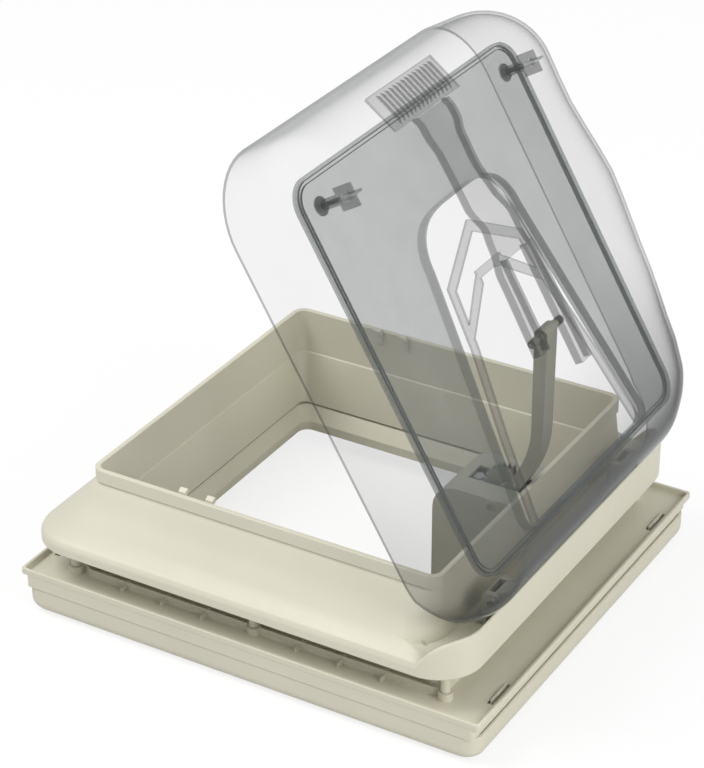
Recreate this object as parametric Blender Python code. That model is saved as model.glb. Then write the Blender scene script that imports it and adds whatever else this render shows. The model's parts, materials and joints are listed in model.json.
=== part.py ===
"""Roof vent cover for a caravan: framed rooflight with a crank-opened double dome.

World frame: +X towards the hinge side, +Y along the hinge, +Z up.  The origin is
the centre of the opened window's footprint, at the underside of the ceiling trim.
Sizes below are millimetres; meshes and locations are scaled to metres once, by MM.
"""
import math

import bmesh
import bpy
from mathutils import Matrix, Vector

MM = 0.001
GAP = 0.3                     # air left between pieces that touch

# --- placing ---------------------------------------------------------------
CEILING_CENTRE_X = -6.5       # the ceiling frame's centre in the world frame
CUTOUT_CENTRE_X = -1.0        # roof cut-out's centre, from the ceiling frame's

# --- ceiling frame and trim ------------------------------------------------
CEILING_HALF_X = 250.0
CEILING_HALF_Y = 227.0
LIP_TOP = 41.3
LIP_WIDTH = 3.0
FLOOR_TOP = 35.0
FLOOR_BOTTOM = 32.0
SKIRT_INSET = 6.0
SKIRT_BOTTOM = 21.9
SHAFT_HALF_X = 173.0
SHAFT_HALF_Y = 173.0
SHAFT_WALL = 3.0
SHAFT_EDGE = 25.3
RIB_Y = 197.0
RIB_TOP = 42.7
TRIM_TOP = 21.3
TRIM_RADIUS = 13.0
TRIM_DROP = 6.0                # how far the trim hangs below the datum
FIN_CENTRE_X = -4.5
FIN_OFFSETS = (52.0, 97.4, 142.8)

# --- outer frame -----------------------------------------------------------
COLLAR_HALF_X = 187.5
COLLAR_HALF_Y = 189.4
COLLAR_TOP = 153.3
COLLAR_WALL = 5.0
NECK_HEIGHT = 13.3
SPIGOT_BOTTOM = 44.0
FLANGE_MIN_X = -245.0
FLANGE_MAX_X = 229.0
FLANGE_HALF_Y = 227.0
FLANGE_RADIUS = 45.0
FLANGE_BOTTOM = 71.3
FLANGE_EDGE = 79.0
WALL_TOP = 112.6
WALL_THICKNESS = 2.8
GUTTER_FLOOR = 88.0
POST_X = (-206.0, -3.0, 200.0)
POST_TOPS = (98.0, 112.5, 86.5)
POST_RADIUS = 4.8

# --- dome, in its own frame: u runs from the hinge axis to the free edge ----
HINGE_X = 220.5
HINGE_Z = 119.7
OPEN_ANGLE = 59.4
KNUCKLE = 3.6
DOME_HINGE_EDGE = -7.4
DOME_FREE_EDGE = 459.5
DOME_HALF_Y = 227.0
DOME_CORNER = 70.0
DOME_ROUND = 70.0
DOME_WALL = 3.0
CROWN_STATIONS = ((20.0, 65.0), (90.0, 80.5), (170.0, 89.5), (262.0, 96.5), (345.0, 87.0), (440.0, 89.0))
RIM_LOW = -18.2
RIM_RISE = 14.0
PANEL_HALF_Y = 196.5
PANEL_NEAR = 32.5
PANEL_FAR = 420.5
PANEL_TOP = 43.3
PANEL_SKIRT = 34.2
PANEL_THICK = 2.5

# --- lift mechanism --------------------------------------------------------
ARM_PIVOT_X = 160.0
ARM_PIVOT_Z = 137.0
ARM_TIP_X = 190.1
ARM_TIP_Z = 314.4
ARM_RATIO = 1.431
ARM_HALF_Y = 10.0
ARM_HALF_T = 6.0
ARM_BEND = 78.0
SHAFT_RADIUS = 4.0
SECTOR_RADIUS = 26.0
SECTOR_HALF_Y = 3.0
SECTOR_TEETH_PER_TURN = 30
SECTOR_PIN = (9.0, 12.0)
WORM_RADIUS = 8.0
WORM_ROOT = 5.9
WORM_TURNS = 3
ROLLER_RADIUS = 4.0
RAIL_WEB_LOW = 81.3
RAIL_HALF_Y = 28.0
RAIL_WALL = 2.4
CRANK_THROW = 34.0

# --- colours ----------------------------------------------------------------
CREAM = (0.80, 0.78, 0.68)
SMOKE = (0.45, 0.50, 0.50)
GREY = (0.36, 0.35, 0.30)
DARK = (0.05, 0.05, 0.05)
STEEL = (0.62, 0.62, 0.62)


def clear_scene():
    for item in list(bpy.data.objects):
        bpy.data.objects.remove(item, do_unlink=True)


def material(name, colour, roughness, metallic=0.0, alpha=1.0):
    """Return the named Principled material, making it on first use."""
    found = bpy.data.materials.get(name)
    if found:
        return found
    made = bpy.data.materials.new(name)
    made.use_nodes = True
    shader = made.node_tree.nodes["Principled BSDF"]
    shader.inputs["Base Color"].default_value = (*colour, 1.0)
    shader.inputs["Roughness"].default_value = roughness
    shader.inputs["Metallic"].default_value = metallic
    shader.inputs["Alpha"].default_value = alpha
    made.diffuse_color = (*colour, alpha)
    return made


def cream():
    return material("cream_abs", CREAM, 0.45)


def smoke():
    return material("smoked_acrylic", SMOKE, 0.08, 0.0, 0.4)


def grey():
    return material("grey_nylon", GREY, 0.5)


def rubber():
    return material("grey_seal", (0.22, 0.24, 0.24), 0.7)


def steel():
    return material("zinc_steel", STEEL, 0.35, 1.0)


# --- building blocks --------------------------------------------------------
def empty(name, x, z, parent=None, turn=0.0):
    """Make an axis marker; everything that moves with the axis hangs from it."""
    made = bpy.data.objects.new(name, None)
    bpy.context.collection.objects.link(made)
    made.location = (x * MM, 0.0, z * MM)
    made.rotation_euler = (0.0, math.radians(turn), 0.0)
    made.parent = parent
    return made


def piece(name, mesh, look, parent, place=(0.0, 0.0, 0.0), turn=(0.0, 0.0, 0.0)):
    made = bpy.data.objects.new(name, mesh)
    bpy.context.collection.objects.link(made)
    if look:
        if not mesh.materials:
            mesh.materials.append(look)
    made.parent = parent
    made.location = Vector(place) * MM
    made.rotation_euler = turn
    return made


def to_mesh(name, work, smooth=35.0):
    """Turn a bmesh in millimetres into a mesh in metres with its faces out."""
    bmesh.ops.recalc_face_normals(work, faces=work.faces)
    bmesh.ops.scale(work, vec=(MM, MM, MM), verts=work.verts)
    mesh = bpy.data.meshes.new(name)
    work.to_mesh(mesh)
    work.free()
    mesh.shade_smooth()
    mesh.set_sharp_from_angle(angle=math.radians(smooth))
    return mesh


def skin(name, loops, closed_section, smooth=35.0):
    """Join loops of equal length.  A closed section makes a frame with a hole."""
    work = bmesh.new()
    rows = [[work.verts.new(point) for point in loop] for loop in loops]
    count = len(rows[0])
    last = len(rows) if closed_section else len(rows) - 1
    for index in range(last):
        upper = rows[index]
        lower = rows[(index + 1) % len(rows)]
        for k in range(count):
            after = (k + 1) % count
            work.faces.new((upper[k], upper[after], lower[after], lower[k]))
    if not closed_section:
        work.faces.new(rows[0])
        work.faces.new(list(reversed(rows[-1])))
    return to_mesh(name, work, smooth)


def prism(name, outline, low, high, axis="Y", smooth=35.0):
    """Extrude a closed outline along an axis, from low to high."""
    def point(a, b, c):
        if axis == "Y":
            return (a, c, b)
        if axis == "Z":
            return (a, b, c)
        return (c, a, b)
    loops = [[point(a, b, c) for a, b in outline] for c in (low, high)]
    return skin(name, loops, False, smooth)


def box(name, low, high):
    outline = [(low[0], low[1]), (high[0], low[1]), (high[0], high[1]), (low[0], high[1])]
    return prism(name, outline, low[2], high[2], "Z")


def circle(radius, count, x=0.0, y=0.0, start=0.0):
    step = 2.0 * math.pi / count
    return [(x + radius * math.cos(start + k * step), y + radius * math.sin(start + k * step))
            for k in range(count)]


def turned(name, profile, count, axis="Z"):
    """A solid of revolution from (radius, height) pairs, bottom to top."""
    def place(a, b, c):
        return (a, b, c) if axis == "Z" else (a, c, b)
    loops = [[place(a, b, height) for a, b in circle(radius, count)]
             for radius, height in profile]
    return skin(name, loops, False)


def rounded_ring(low_x, high_x, half_y, radius, steps=6, between=0):
    """Points of a rounded rectangle with the turn angle of each one."""
    centres = ((high_x - radius, -half_y + radius, -90.0),
               (high_x - radius, half_y - radius, 0.0),
               (low_x + radius, half_y - radius, 90.0),
               (low_x + radius, -half_y + radius, 180.0))
    points = []
    for x, y, start in centres:
        for k in range(steps + 1):
            angle = start + 90.0 * k / steps
            turn = math.radians(angle)
            points.append((x + radius * math.cos(turn), y + radius * math.sin(turn), angle))
    if not between:
        return points
    filled = []
    for index, point in enumerate(points):
        filled.append(point)
        if index % (steps + 1) == steps:
            after = points[(index + 1) % len(points)]
            for k in range(1, between + 1):
                share = k / (between + 1.0)
                filled.append((point[0] + (after[0] - point[0]) * share,
                               point[1] + (after[1] - point[1]) * share, point[2]))
    return filled


def flat_ring(low_x, high_x, half_y, radius, height, steps=6):
    return [(x, y, height) for x, y, _ in rounded_ring(low_x, high_x, half_y, radius, steps)]


def change(target, operation, meshes, name):
    """Boolean the target with hidden helpers made from the meshes."""
    for index, mesh in enumerate(meshes):
        helper = bpy.data.objects.new(f"{name}_{index}", mesh)
        bpy.context.collection.objects.link(helper)
        helper.parent = target.parent
        helper.location = target.location
        helper.rotation_euler = target.rotation_euler
        helper.hide_render = True
        helper.display_type = "WIRE"
        step = target.modifiers.new(f"{name}_{index}", "BOOLEAN")
        step.operation = operation
        step.object = helper


def cut(target, *meshes):
    change(target, "DIFFERENCE", meshes, target.name + "_cut")


def join(target, *meshes):
    change(target, "UNION", meshes, target.name + "_add")


# --- ceiling frame ----------------------------------------------------------
def ceiling_ring(inset_x, inset_y, height, radius=3.0):
    return flat_ring(-CEILING_HALF_X + inset_x, CEILING_HALF_X - inset_x,
                     CEILING_HALF_Y - inset_y, radius, height, 3)


def shaft_ring(extra, height, radius=12.0):
    return flat_ring(CUTOUT_CENTRE_X - SHAFT_HALF_X - extra, CUTOUT_CENTRE_X + SHAFT_HALF_X + extra,
                     SHAFT_HALF_Y + extra, radius, height, 3)


def ceiling_frame(parent):
    """Inside tray: raised lip, floor, telescoping rib and the light shaft's lower part."""
    rib = RIB_Y - SHAFT_HALF_Y
    loops = [
        ceiling_ring(0.0, 0.0, LIP_TOP),
        ceiling_ring(LIP_WIDTH, LIP_WIDTH, LIP_TOP),
        ceiling_ring(LIP_WIDTH + 0.4, LIP_WIDTH + 0.4, FLOOR_TOP),
        shaft_ring(rib + 1.0, FLOOR_TOP),
        shaft_ring(rib + 0.8, RIB_TOP),
        shaft_ring(rib - 0.8, RIB_TOP),
        shaft_ring(rib - 1.0, FLOOR_TOP),
        shaft_ring(13.2, FLOOR_TOP),
        shaft_ring(13.0, 41.0),
        shaft_ring(9.4, 41.0),
        shaft_ring(0.0, 27.5),
        shaft_ring(0.0, SHAFT_EDGE),
        shaft_ring(SHAFT_WALL, SHAFT_EDGE),
        shaft_ring(9.0, FLOOR_BOTTOM),
        ceiling_ring(SKIRT_INSET + 3.0, 3.4, FLOOR_BOTTOM),
        ceiling_ring(SKIRT_INSET + 3.0, 3.4, SKIRT_BOTTOM),
        ceiling_ring(SKIRT_INSET, 0.4, SKIRT_BOTTOM),
        ceiling_ring(SKIRT_INSET, 0.4, 34.6),
        ceiling_ring(0.0, 0.0, FLOOR_TOP),
    ]
    made = piece("ceiling_frame", skin("ceiling_frame", loops, True), cream(), parent)
    join(made, *[mesh for mesh in tray_bosses_and_fins()])
    cut(made, *[mesh for mesh in tray_holes()])
    return made


def tray_bosses_and_fins():
    for side in (-1.0, 1.0):
        for x in POST_X:
            outline = circle(7.0, 16, x, side * RIB_Y)
            yield prism("boss", outline, FLOOR_TOP - 1.0, RIB_TOP, "Z")
        for offset in FIN_OFFSETS:
            for way in (-1.0, 1.0):
                x = FIN_CENTRE_X + way * offset
                near = side * (RIB_Y - 5.0)
                far = side * (RIB_Y + 9.0)
                yield box("fin", (x - 0.8, min(near, far), FLOOR_TOP - 1.0),
                          (x + 0.8, max(near, far), RIB_TOP - 1.5))


def slot_places():
    for x in (-238.5, 238.5):
        for side in (-1.0, 1.0):
            yield x, side * 167.0


def tray_holes():
    for side in (-1.0, 1.0):
        for x in POST_X:
            yield prism("hole", circle(2.7, 12, x, side * RIB_Y), 28.0, RIB_TOP + 2.0, "Z")
    for x, y in slot_places():
        yield box("slot", (x - 3.0, y - 17.5, 28.0), (x + 3.0, y + 17.5, FLOOR_TOP + 2.0))


# --- trim cover -------------------------------------------------------------
def trim_cover(parent):
    """Bull-nosed cover that clips under the ceiling frame through its slots."""
    loops = []
    turns = 5
    wall = 3.0
    edge = SHAFT_EDGE - GAP
    for k in range(turns + 1):
        angle = 0.5 * math.pi * k / turns
        inset = TRIM_RADIUS * (1.0 - math.cos(angle))
        loops.append(trim_ring(inset, TRIM_RADIUS * (1.0 - math.sin(angle)) - TRIM_DROP, 16.0))
    loops.append(shaft_ring(0.8, edge - wall))
    loops.append(shaft_ring(0.8, edge))
    inner = TRIM_RADIUS - wall
    for k in range(turns, -1, -1):
        angle = 0.5 * math.pi * k / turns
        inset = wall + inner * (1.0 - math.cos(angle))
        loops.append(trim_ring(inset, TRIM_RADIUS - TRIM_DROP - inner * math.sin(angle), 14.0))
    loops.append(trim_ring(wall, TRIM_TOP, 14.0))
    loops.append(trim_ring(0.0, TRIM_TOP, 16.0))
    made = piece("trim_cover", skin("trim_cover", loops, True), cream(), parent)
    tabs = [box("tab", (x - 0.9, y - 15.0, -3.6), (x + 0.9, y + 15.0, 38.0))
            for x, y in slot_places()]
    join(made, *tabs)
    return made


def trim_ring(inset, height, radius):
    low = -CEILING_HALF_X + 3.0 + inset
    return flat_ring(low, -low, CEILING_HALF_Y - 1.0 - inset, radius, height, 3)


# --- outer frame ------------------------------------------------------------
def wall_share(angle):
    """1 along the hinge wall, easing to 0 round the two hinge-side corners."""
    if angle > 180.0 or angle < -90.0:
        return 0.0
    away = abs(angle)
    return max(0.0, 1.0 - (away / 88.0) ** 4) if away < 90.0 else 0.0


def flange_ring(inset, low, high=None):
    """Ring on the flange's outline; its height eases from low up to the hinge wall."""
    high = low if high is None else high
    points = rounded_ring(FLANGE_MIN_X + inset, FLANGE_MAX_X - inset,
                          FLANGE_HALF_Y - inset, FLANGE_RADIUS - inset)
    return [(x, y, low + (high - low) * wall_share(angle)) for x, y, angle in points]


def collar_ring(free, side, hinge, height, radius, hinge_height=None):
    """Ring round the collar, grown on each side; it may sit at another height by the hinge."""
    hinge_height = height if hinge_height is None else hinge_height
    points = rounded_ring(CUTOUT_CENTRE_X - COLLAR_HALF_X - free,
                          CUTOUT_CENTRE_X + COLLAR_HALF_X + hinge, COLLAR_HALF_Y + side, radius)
    return [(x, y, height + (hinge_height - height) * wall_share(angle))
            for x, y, angle in points]


def outer_frame(parent):
    """Roof flange, sloping sides, hinge wall with its gutter, collar and spigot."""
    neck = COLLAR_TOP - NECK_HEIGHT
    inner = -COLLAR_WALL
    loops = [
        collar_ring(0.0, 0.0, 0.0, COLLAR_TOP, 13.0),
        collar_ring(0.0, 0.0, 0.0, neck, 13.0),
        collar_ring(-2.0, -2.0, -2.0, neck - 1.0, 12.0),
        collar_ring(14.0, 7.6, 0.0, 120.0, 22.0),
        collar_ring(34.0, 22.6, 4.0, 100.0, 34.0, GUTTER_FLOOR + 1.5),
        flange_ring(7.0, 88.0, GUTTER_FLOOR),
        flange_ring(WALL_THICKNESS + 0.7, 85.2, GUTTER_FLOOR + 1.0),
        flange_ring(WALL_THICKNESS, 84.6, WALL_TOP),
        flange_ring(0.7, 81.0, WALL_TOP - 0.4),
        flange_ring(0.0, FLANGE_EDGE, WALL_TOP - 2.5),
        flange_ring(0.0, FLANGE_BOTTOM),
        flange_ring(20.0, FLANGE_BOTTOM),
        flange_ring(20.0, 84.0),
        collar_ring(10.0, 5.0, -2.2, 112.0, 20.0, 84.3),
        collar_ring(-0.5, -1.8, -2.8, 126.0, 13.0, 82.5),
        collar_ring(-1.2, -2.2, -3.6, SPIGOT_BOTTOM, 13.0),
        collar_ring(inner - 1.2, inner - 1.5, inner - 1.5, SPIGOT_BOTTOM, 9.0),
        collar_ring(inner - 1.2, inner - 1.5, inner - 1.5, 104.0, 9.0),
        collar_ring(inner, inner, inner, 105.5, 9.0),
        collar_ring(inner, inner, inner, COLLAR_TOP, 9.0),
    ]
    made = piece("outer_frame", skin("outer_frame", loops, True), cream(), parent)
    posts = []
    holes = []
    for side in (-1.0, 1.0):
        for x, top in zip(POST_X, POST_TOPS):
            posts.append(prism("post", circle(POST_RADIUS, 16, x, side * RIB_Y),
                               RIB_TOP + GAP, top, "Z"))
            holes.append(prism("pilot", circle(2.5, 12, x, side * RIB_Y), RIB_TOP - 1.0, 66.0, "Z"))
    join(made, *posts)
    cut(made, *holes)
    return made


def clamp_screws(parent):
    """Screws that pull the two frames together through the tray's bosses."""
    profile = ((2.0, 60.0), (2.0, 31.2), (4.6, 31.2), (4.6, 29.4), (3.4, 28.0))
    mesh = turned("clamp_screw", list(reversed(profile)), 12)
    number = 0
    for side in (-1.0, 1.0):
        for x in POST_X:
            number += 1
            piece(f"clamp_screw_{number}", mesh, steel(), parent, (x, side * RIB_Y, 0.0))


def rim_hooks(parent):
    """Small clips that stand on the collar's inner face, two on each long side."""
    inner = COLLAR_HALF_Y - COLLAR_WALL
    outline = ((inner - GAP, 140.0), (inner - 2.3, 140.0), (inner - 2.3, 150.0),
               (inner - 7.0, 152.5), (inner - 7.0, 156.0), (inner - 4.5, 157.5), (inner - GAP, 155.0))
    number = 0
    for side in (-1.0, 1.0):
        for x in (-88.0, -58.0):
            number += 1
            sided = [(side * y, z) for y, z in outline]
            piece(f"rim_hook_{number}", prism("rim_hook", sided, x - 4.0, x + 4.0, "X"),
                  cream(), parent)


# --- hinges -----------------------------------------------------------------
def hinge_half(parent, dome, side, label):
    """One of the two hinges: bracket in the gutter, leaf on the dome, and its pin."""
    middle = side * 130.0
    lug = [(-20.0, -30.0), (-7.0, -30.0), (-7.0, -5.0)]
    lug += [(KNUCKLE * math.cos(a), KNUCKLE * math.sin(a))
            for a in (math.radians(-110.0 + 26.0 * k) for k in range(9))]
    lug += [(-9.0, 3.4), (-13.0, -1.0), (-13.0, -26.0), (-20.0, -26.0)]
    low = middle - 17.0
    high = middle + 17.0
    bracket = piece(f"hinge_bracket_{label}", prism("hinge_bracket", lug, low, high),
                    grey(), parent, (HINGE_X, 0.0, HINGE_Z))
    cut(bracket,
        box("gap", (-8.5, middle - 11.0, -20.0), (8.0, middle + 11.0, 12.0)),
        prism("bore", circle(2.05, 16), low - 2.0, high + 2.0))
    leaf = [(KNUCKLE * math.cos(a), KNUCKLE * math.sin(a))
            for a in (math.radians(-10.0 - 24.0 * k) for k in range(10))]
    leaf += [(-1.0, 5.5), (-1.2, 13.0), (1.0, 13.0), (2.8, 3.0)]
    dome_leaf = piece(f"hinge_leaf_{label}", prism("hinge_leaf", leaf, middle - 10.5, middle + 10.5),
                      grey(), dome)
    cut(dome_leaf, prism("bore", circle(2.05, 16), middle - 12.0, middle + 12.0))
    piece(f"hinge_pin_{label}", prism("hinge_pin", circle(1.8, 16), low - 1.0, high + 1.0),
          steel(), parent, (HINGE_X, 0.0, HINGE_Z))


# --- dome -------------------------------------------------------------------
def dome_crown(u):
    """Height of the dome's ridge above the hinge axis, eased between its stations."""
    first = CROWN_STATIONS[0]
    if u <= first[0]:
        return first[1]
    for before, after in zip(CROWN_STATIONS, CROWN_STATIONS[1:]):
        if u <= after[0]:
            share = (u - before[0]) / (after[0] - before[0])
            eased = 0.5 * share + 0.5 * share * share * (3.0 - 2.0 * share)
            return before[1] + (after[1] - before[1]) * eased
    return CROWN_STATIONS[-1][1]


def edge_distance(u, y, skin_depth):
    """How far a plan point lies inside the dome's rounded outline."""
    low = DOME_HINGE_EDGE + skin_depth
    high = DOME_FREE_EDGE - skin_depth
    radius = DOME_CORNER - skin_depth
    across = max(abs(u - 0.5 * (low + high)) - 0.5 * (high - low) + radius, 0.0)
    aside = max(abs(y) - (DOME_HALF_Y - skin_depth) + radius, 0.0)
    inside = min(max(abs(u - 0.5 * (low + high)) - 0.5 * (high - low),
                     abs(y) - (DOME_HALF_Y - skin_depth)), 0.0)
    if across or aside:
        return radius - math.hypot(across, aside)
    return -inside


def dome_surface(u, y, skin_depth):
    depth = edge_distance(u, y, skin_depth)
    round_off = DOME_ROUND - skin_depth
    lean = max(0.0, 1.0 - depth / round_off)
    drop = round_off * (1.0 - math.sqrt(max(0.0, 1.0 - lean * lean)))
    return dome_crown(u) - skin_depth - drop


def rim_height(angle):
    """The rim climbs over the hinge wall round its two corners."""
    away = min(1.0, abs(angle) / 75.0) if abs(angle) <= 90.0 else 1.0
    return RIM_LOW + RIM_RISE * (1.0 - away * away)


def dome_loops(skin_depth, steps, insets, shares):
    """Loops from the rim to the crown; local x is minus u."""
    outline = rounded_ring(-DOME_FREE_EDGE + skin_depth, -DOME_HINGE_EDGE - skin_depth,
                           DOME_HALF_Y - skin_depth, DOME_CORNER - skin_depth, steps, 5)
    loops = [[(x, y, rim_height(angle)) for x, y, angle in outline]]
    for inset in insets:
        ring = rounded_ring(-DOME_FREE_EDGE + skin_depth + inset,
                            -DOME_HINGE_EDGE - skin_depth - inset,
                            DOME_HALF_Y - skin_depth - inset,
                            DOME_CORNER - skin_depth - inset, steps, 5)
        loops.append([(x, y, dome_surface(-x, y, skin_depth)) for x, y, _ in ring])
    base = [(x, y) for x, y, _ in loops[-1]]
    middle = -0.5 * (DOME_FREE_EDGE + DOME_HINGE_EDGE)
    for share in shares:
        ring = [(middle + (x - middle) * share, y * share) for x, y in base]
        loops.append([(x, y, dome_surface(-x, y, skin_depth)) for x, y in ring])
    return loops


def dome_shell(dome):
    """Outer dome: a blown shell with a turned-down rim."""
    steps = 6
    insets = (0.0, 2.0, 7.0, 15.0, 27.0, 43.0)
    shares = (0.88, 0.76, 0.64, 0.52, 0.4, 0.28, 0.14)
    outer = dome_loops(0.0, steps, insets, shares)
    inner = dome_loops(DOME_WALL, steps, insets, shares)
    loops = list(reversed(outer)) + inner
    mesh = skin("dome_shell", loops, False, 40.0)
    return piece("dome_shell", mesh, smoke(), dome)


def panel_ring(inset, height, radius):
    return flat_ring(-PANEL_FAR + inset, -PANEL_NEAR - inset, PANEL_HALF_Y - inset,
                     radius - inset, height)


def arch_half_width(u):
    """Half width of the arm's opening in the inner panel; it widens to the hinge."""
    return 73.0 + 45.0 * (317.5 - u) / 265.0


def arch_outline(grow):
    """The opening's outline: straight flaring sides and a rounded end."""
    low = 43.0 - grow
    corner_u = 296.0
    points = [(low, arch_half_width(low) + grow)]
    points.append((corner_u, arch_half_width(corner_u) + grow))
    reach = 328.0 + grow
    width = arch_half_width(corner_u) + grow
    for k in range(1, 7):
        angle = math.radians(15.0 * k)
        points.append((corner_u + (reach - corner_u) * math.sin(angle),
                       width * math.cos(angle) ** 0.55 if k < 6 else 0.0))
    mirrored = [(u, -y) for u, y in reversed(points[:-1])]
    return [(-u, y) for u, y in points + mirrored]


def inner_panel(dome):
    """Inner glazing: flat tray with a turned-down edge and a flanged arm opening."""
    bottom = PANEL_TOP - PANEL_THICK
    loops = [
        panel_ring(0.0, PANEL_SKIRT, 26.0),
        panel_ring(0.0, PANEL_TOP - 2.0, 26.0),
        panel_ring(2.0, PANEL_TOP, 26.0),
        panel_ring(PANEL_THICK + 2.0, PANEL_TOP, 26.0),
    ]
    inner = [
        panel_ring(PANEL_THICK + 2.0, bottom, 26.0),
        panel_ring(PANEL_THICK, bottom - 1.0, 26.0),
        panel_ring(PANEL_THICK, PANEL_SKIRT, 26.0),
    ]
    work = bmesh.new()
    rows = [[work.verts.new(p) for p in loop] for loop in loops + inner]
    count = len(rows[0])
    for index, row in enumerate(rows):
        if index == len(loops) - 1:
            continue
        after = rows[(index + 1) % len(rows)]
        for k in range(count):
            n = (k + 1) % count
            work.faces.new((row[k], row[n], after[n], after[k]))
    work.faces.new(rows[len(loops) - 1])
    work.faces.new(list(reversed(rows[len(loops)])))
    made = piece("inner_panel", to_mesh("inner_panel", work), smoke(), dome)
    join(made, prism("flange", arch_outline(2.0), bottom + 0.5, PANEL_TOP + 12.0, "Z"))
    cut(made, prism("opening", arch_outline(0.0), bottom - 4.0, PANEL_TOP + 17.0, "Z"))
    for side in (-1.0, 1.0):
        cut(made, prism("screw_hole", circle(2.6, 12, -391.5, side * 168.0),
                        bottom - 2.0, PANEL_TOP + 2.0, "Z"))
    return made


def panel_seal(dome):
    """Soft bulb seal behind the panel's turned-down edge."""
    outer = PANEL_THICK + GAP
    inner = outer + 4.0
    bottom = PANEL_TOP - PANEL_THICK - 1.3
    loops = [
        panel_ring(outer, bottom, 26.0),
        panel_ring(outer + 2.4, bottom, 26.0),
        panel_ring(inner, PANEL_SKIRT + 5.0, 26.0),
        panel_ring(inner - 1.0, PANEL_SKIRT + 1.5, 26.0),
        panel_ring(outer + 0.2, PANEL_SKIRT + 1.5, 26.0),
    ]
    return piece("panel_seal", skin("panel_seal", loops, True), rubber(), dome)


def spacers(dome):
    """Two cross-ribbed posts hold panel and dome apart at the free corners."""
    for index, side in enumerate((-1.0, 1.0)):
        y = side * 168.0
        u = 391.5
        top = dome_surface(u + 11.0, abs(y) + 11.0, DOME_WALL) - 1.0
        post = piece(f"spacer_post_{index + 1}",
                     prism("spacer_post", circle(5.0, 16), PANEL_TOP + GAP, top - 8.0, "Z"),
                     smoke(), dome, (-u, y, 0.0))
        join(post,
             box("rib_a", (-11.0, -1.0, top - 20.0), (11.0, 1.0, top)),
             box("rib_b", (-1.0, -11.0, top - 20.0), (1.0, 11.0, top)))
        cut(post, prism("pilot", circle(2.4, 12), PANEL_TOP - 1.0, PANEL_TOP + 18.0, "Z"))
        bottom = PANEL_TOP - PANEL_THICK - GAP
        profile = ((6.0, bottom - 2.5), (6.4, bottom - 1.4), (9.0, bottom - 1.4), (9.0, bottom),
                   (2.0, bottom), (2.0, PANEL_TOP + 16.0))
        piece(f"panel_screw_{index + 1}", turned("panel_screw", profile, 16), steel(), dome,
              (-u, y, 0.0))


# --- lift arm and its rail --------------------------------------------------
def closed_arm_angle():
    length, rest = arm_reach()
    return rest - ARM_RATIO * OPEN_ANGLE, length


def arm_reach():
    across = ARM_PIVOT_X - ARM_TIP_X
    up = ARM_TIP_Z - ARM_PIVOT_Z
    return math.hypot(across, up), math.degrees(math.atan2(up, across))


def roller_path(share):
    """Roller centre in the dome's frame, for the dome opened by this share."""
    closed, length = closed_arm_angle()
    arm = math.radians(closed + share * ARM_RATIO * OPEN_ANGLE)
    back = math.radians(share * OPEN_ANGLE)
    x = HINGE_X - (ARM_PIVOT_X - length * math.cos(arm))
    z = ARM_PIVOT_Z + length * math.sin(arm) - HINGE_Z
    return (x * math.cos(back) + z * math.sin(back), -x * math.sin(back) + z * math.cos(back))


def hull(points):
    """Convex outline round a set of plane points."""
    ordered = sorted(set(points))
    halves = []
    for run in (ordered, list(reversed(ordered))):
        chain = []
        for point in run:
            while len(chain) > 1 and turn_of(chain[-2], chain[-1], point) <= 1e-9:
                chain.pop()
            chain.append(point)
        halves.append(chain[:-1])
    return halves[0] + halves[1]


def turn_of(a, b, c):
    return (b[0] - a[0]) * (c[1] - a[1]) - (b[1] - a[1]) * (c[0] - a[0])


def track_outline(reach, overrun):
    """Slot outline that keeps this far from the roller's centre all along its path."""
    points = []
    for k in range(9):
        u, z = roller_path(-overrun + (1.0 + 2.0 * overrun) * k / 8.0)
        points += circle(reach, 12, -u, z)
    return hull(points)


def guide_rail(dome):
    """Channel under the dome; the arm's rollers run in the slots of its two sides."""
    web_low = RAIL_WEB_LOW
    half = RAIL_HALF_Y
    upper = [(-138.0, web_low + 1.3), (-292.0, web_low + 2.4), (-318.0, 76.0), (-402.0, 73.5),
             (-411.0, 70.0)]
    lower = [(-411.0, 62.5), (-326.0, 63.0), (-262.0, 62.0), (-246.0, 56.0), (-226.0, 56.0),
             (-180.0, 65.0), (-138.0, 66.0)]
    made = piece("guide_rail", prism("guide_rail", upper + lower, -half, half), smoke(), dome)
    inside = [(-120.0, web_low), (-291.0, web_low), (-317.0, 73.6), (-402.0, 71.0),
              (-408.6, 68.6), (-408.6, 40.0), (-120.0, 40.0)]
    cut(made,
        prism("channel", inside, -half + RAIL_WALL, half - RAIL_WALL),
        prism("slot", track_outline(ROLLER_RADIUS + 0.5, 0.06), -half - 8.0, half + 8.0),
        prism("waist", [(-372.0, half + 6.0), (-352.0, half - 3.0), (-330.0, half + 6.0)],
              50.0, 90.0, "Z"),
        box("near_end", (-170.0, -half - 4.0, 50.0), (-130.0, -half + RAIL_WALL + 4.0, 90.0)))
    return made


def lift_frame(dome):
    """House-shaped brace round the arm: two legs, a pointed head and two struts."""
    half = 5.0
    low = PANEL_TOP + 3.0
    route = [(46.0, 106.0), (120.0, 93.0), (207.0, 73.0), (262.0, 66.0), (299.0, 0.0)]
    mirrored = [(u, -y) for u, y in reversed(route[:-1])]
    centre = route + mirrored
    outer = offset_route(centre, half)
    inner = offset_route(centre, -half)
    outline = [(-u, y) for u, y in outer + list(reversed(inner))]
    made = piece("lift_frame", prism("lift_frame", outline, low, low + 3.0, "Z"), smoke(), dome)
    struts = []
    for side in (-1.0, 1.0):
        strut = [(-262.0, side * 18.0), (-254.0, side * 30.0), (-218.0, side * 77.0),
                 (-211.0, side * 71.0), (-248.0, side * 20.0)]
        struts.append(prism("strut", strut, low + 0.2, low + 2.8, "Z"))
    bridge = box("bridge", (-262.0, -23.0, low + 0.1), (-254.0, 23.0, low + 2.9))
    join(made, struts[0], struts[1], bridge)
    return made


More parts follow.
